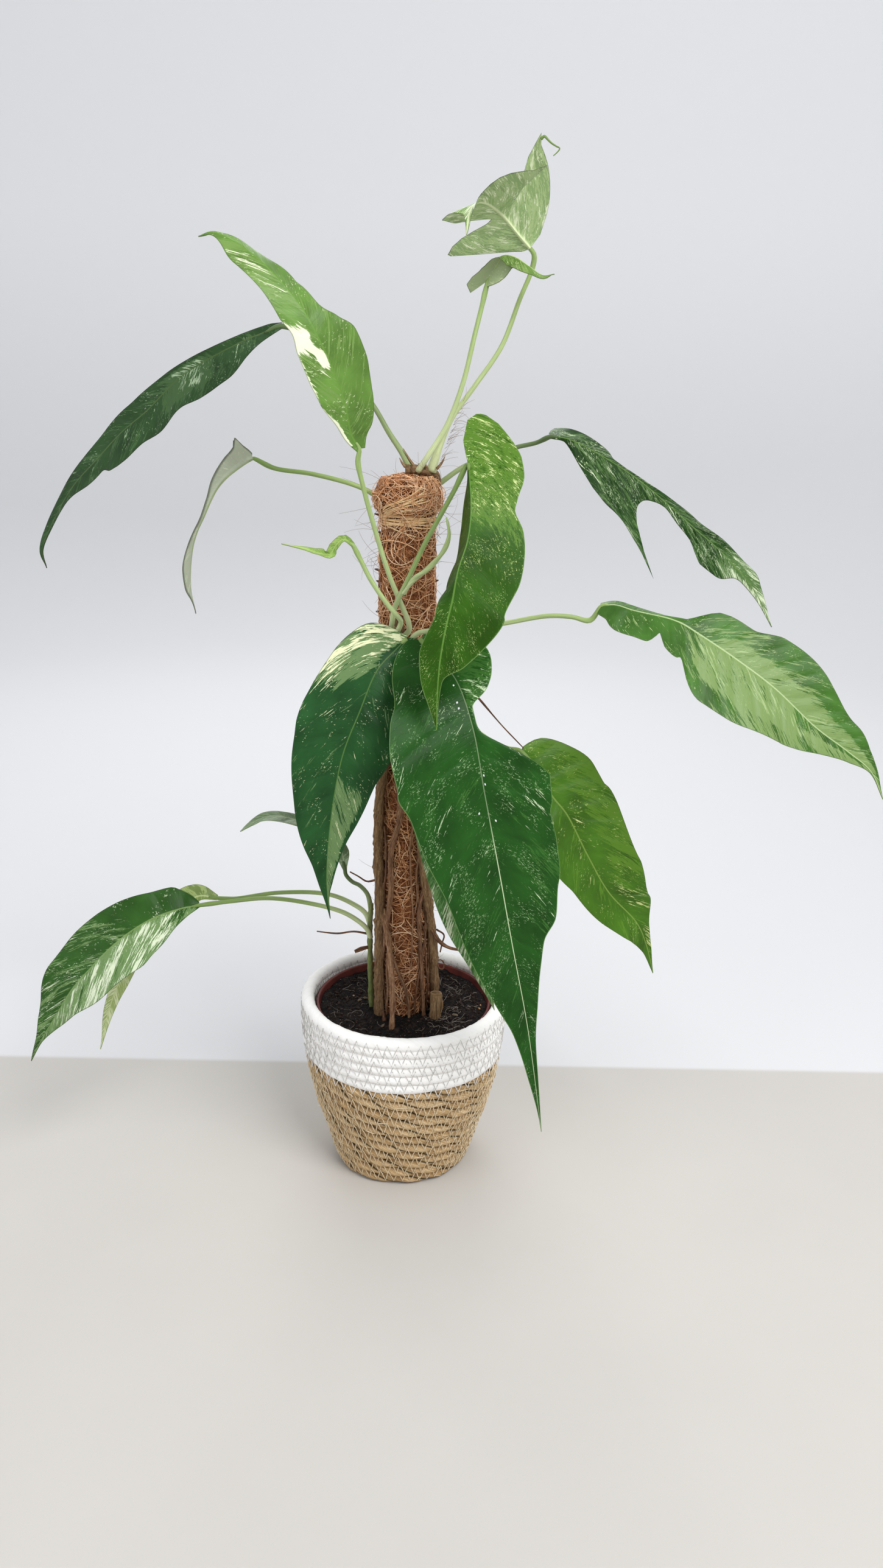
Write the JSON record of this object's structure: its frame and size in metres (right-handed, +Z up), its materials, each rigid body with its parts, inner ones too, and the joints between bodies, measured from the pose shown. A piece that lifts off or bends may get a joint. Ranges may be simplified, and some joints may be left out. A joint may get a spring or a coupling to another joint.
{
  "type": "potted variegated epipremnum pinnatum",
  "caption": "Climbing foliage plant with cream-streaked lobed leaves on a coir pole, in a nursery pot inside a coiled two-tone basket.",
  "frame": {"origin": "centre of the basket's foot, on the surface it stands on", "axes": "+Z up along the pole, -Y towards the plant's front, +X to the right as seen from the front"},
  "size_m": [0.6482, 0.2307, 0.8065],
  "materials": {
    "seagrass": "matte",
    "white_rope": "matte",
    "pot_plastic": "satin",
    "soil": "matte",
    "stake": "matte",
    "coir": "matte",
    "raffia": "matte",
    "vine": "matte",
    "shoot": "satin",
    "leaf": "satin",
    "pale_leaf": "satin"
  },
  "bodies": {
    "root": {"basket_natural": "seagrass", "basket_white_band": "white_rope", "nursery_pot": "pot_plastic", "soil": "soil", "pole_stake": "stake", "pole_coir": "coir", "coir_tie": "raffia", "vine_front": "vine", "vine_back": "vine", "vine_right": "vine", "shoot_left": "shoot", "leaf_top_lobed": "pale_leaf", "leaf_top_young": "pale_leaf", "leaf_upper_left": "leaf", "leaf_far_left": "leaf", "leaf_left_twisted": "pale_leaf", "leaf_curled_bud": "pale_leaf", "leaf_front_folded": "leaf", "leaf_upper_right": "leaf", "leaf_far_right": "pale_leaf", "leaf_front_left": "leaf", "leaf_front_large": "leaf", "leaf_behind_large": "pale_leaf", "leaf_lower_right": "leaf", "leaf_lower_left": "leaf", "leaf_lower_left_back": "pale_leaf", "leaf_small_back": "pale_leaf"}
  },
  "joints": []
}
